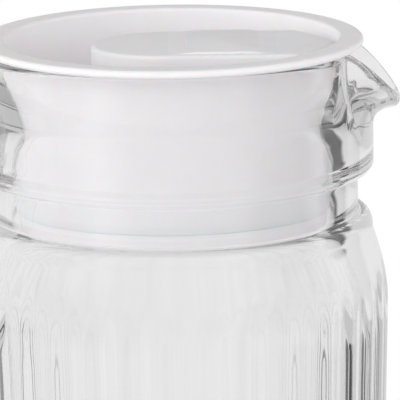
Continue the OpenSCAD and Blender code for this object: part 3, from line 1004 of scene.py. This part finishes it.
def world_light():
    """White for the camera, the field for what the glass shows, and soft light on matt surfaces."""
    world = bpy.data.worlds.new("studio")
    bpy.context.scene.world = world
    n = Nodes(world)
    way = n.add("ShaderNodeTexCoord").outputs["Generated"]
    field = n.add("ShaderNodeBackground", Strength=1.0)
    n.join(n.field(way), field.inputs["Color"])
    level = n.spread(n.part_of(way, "Z"), 0.0, 1.0, AMBIENT_LOW, AMBIENT_HIGH)
    for aim, edge, high in SOFT_LIGHTS:
        level = n.maths("ADD", level, n.soft_spot(way, aim, edge, high))
    soft = n.add("ShaderNodeBackground", Color=grey(1))
    n.join(level, soft.inputs["Strength"])
    white = n.add("ShaderNodeBackground", Color=grey(1), Strength=1.0)
    path = n.add("ShaderNodeLightPath")
    mirrored = n.most(path.outputs["Is Transmission Ray"], path.outputs["Is Glossy Ray"])
    rest = n.mix(mirrored, soft.outputs[0], field.outputs[0])
    n.finish("ShaderNodeOutputWorld", n.mix(path.outputs["Is Camera Ray"], rest, white.outputs[0]))


# The photograph's camera, fitted to the ellipses of the flange and the rim: a point on the axis
# at the lid's crown falls on CROWN_PX of a picture PICTURE_PX wide
CAMERA_MM = 1100.0
CAMERA_EL = 10.1
CAMERA_ROLL = 0.82
PX_PER_MM = 4.175
CROWN_PX = (171.0, 36.5)
PICTURE_PX = 400.0
SENSOR_MM = 36.0
CLIP_NEAR, CLIP_FAR = 0.01, 50


def photo_camera():
    """The photograph's camera, turned from the crown towards the picture's centre."""
    el = math.radians(CAMERA_EL)
    roll = math.radians(CAMERA_ROLL)
    focal_px = PX_PER_MM * CAMERA_MM
    eye = Vector((0, -CAMERA_MM * math.cos(el), LID_TOP_Z + CAMERA_MM * math.sin(el)))
    ahead = Vector((0, math.cos(el), -math.sin(el)))
    right = Vector((1, 0, 0))
    up = Vector((0, math.sin(el), math.cos(el)))
    # direction to the picture's centre, in the camera that looks at the crown
    dx, dy = PICTURE_PX / 2 - CROWN_PX[0], PICTURE_PX / 2 - CROWN_PX[1]
    x = dx * math.cos(roll) - dy * math.sin(roll)
    y = -(dx * math.sin(roll) + dy * math.cos(roll))
    aim = (ahead * focal_px + right * x + up * y).normalized()
    tilted_up = up * math.cos(roll) + right * math.sin(roll)
    cam_up = (tilted_up - aim * tilted_up.dot(aim)).normalized()
    cam_right = aim.cross(cam_up).normalized()
    data = bpy.data.cameras.new("photo")
    data.sensor_width = SENSOR_MM
    data.lens = math.hypot(focal_px, math.hypot(dx, dy)) / PICTURE_PX * SENSOR_MM
    data.clip_start, data.clip_end = CLIP_NEAR, CLIP_FAR
    cam = bpy.data.objects.new("photo", data)
    bpy.context.scene.collection.objects.link(cam)
    cam.location = eye * MM
    rows = [[cam_right[i], cam_up[i], -aim[i]] for i in range(3)]
    cam.rotation_euler = Matrix(rows).to_euler()
    bpy.context.scene.camera = cam


def ground():
    """The floor that the part stands on."""
    bpy.ops.mesh.primitive_circle_add(
        vertices=GROUND_CORNERS, radius=GROUND_R, fill_type="NGON", location=(0, 0, -GROUND_DROP)
    )
    floor = bpy.context.object
    floor.name = "floor"
    floor.data.materials.append(ground_material())


def build():
    """Makes the pieces, each with its looks, body and replaced nodes, and then the stage."""
    glass = glass_mesh()
    combine(glass, handle_mesh(), "UNION")
    shade(glass)
    glass.data.materials.append(glass_material())
    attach(glass, "jug")
    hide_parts("jug_body", "jug_neck", "jug_spout", "jug_handle")

    white = plastic_material("white_plastic", *LID_LOOKS)
    soft = plastic_material("soft_ring", *RING_LOOKS)
    cup, grip = cup_piece(), grip_piece()
    for piece, node in ((cup, "lid_cup"), (grip, "lid_grip")):
        shade(piece, SHARP_ANGLE)
        piece.data.materials.append(white)
        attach(piece, "lid")
        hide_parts(node)

    ring = revolved("ring_rubber", ring_outline())
    shade(ring, SHARP_ANGLE)
    ring.data.materials.append(soft)
    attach(ring, "ring")
    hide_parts("seal_ring")

    ground()
    world_light()
    photo_camera()


build()
bpy.context.scene.view_settings.view_transform = "Standard"
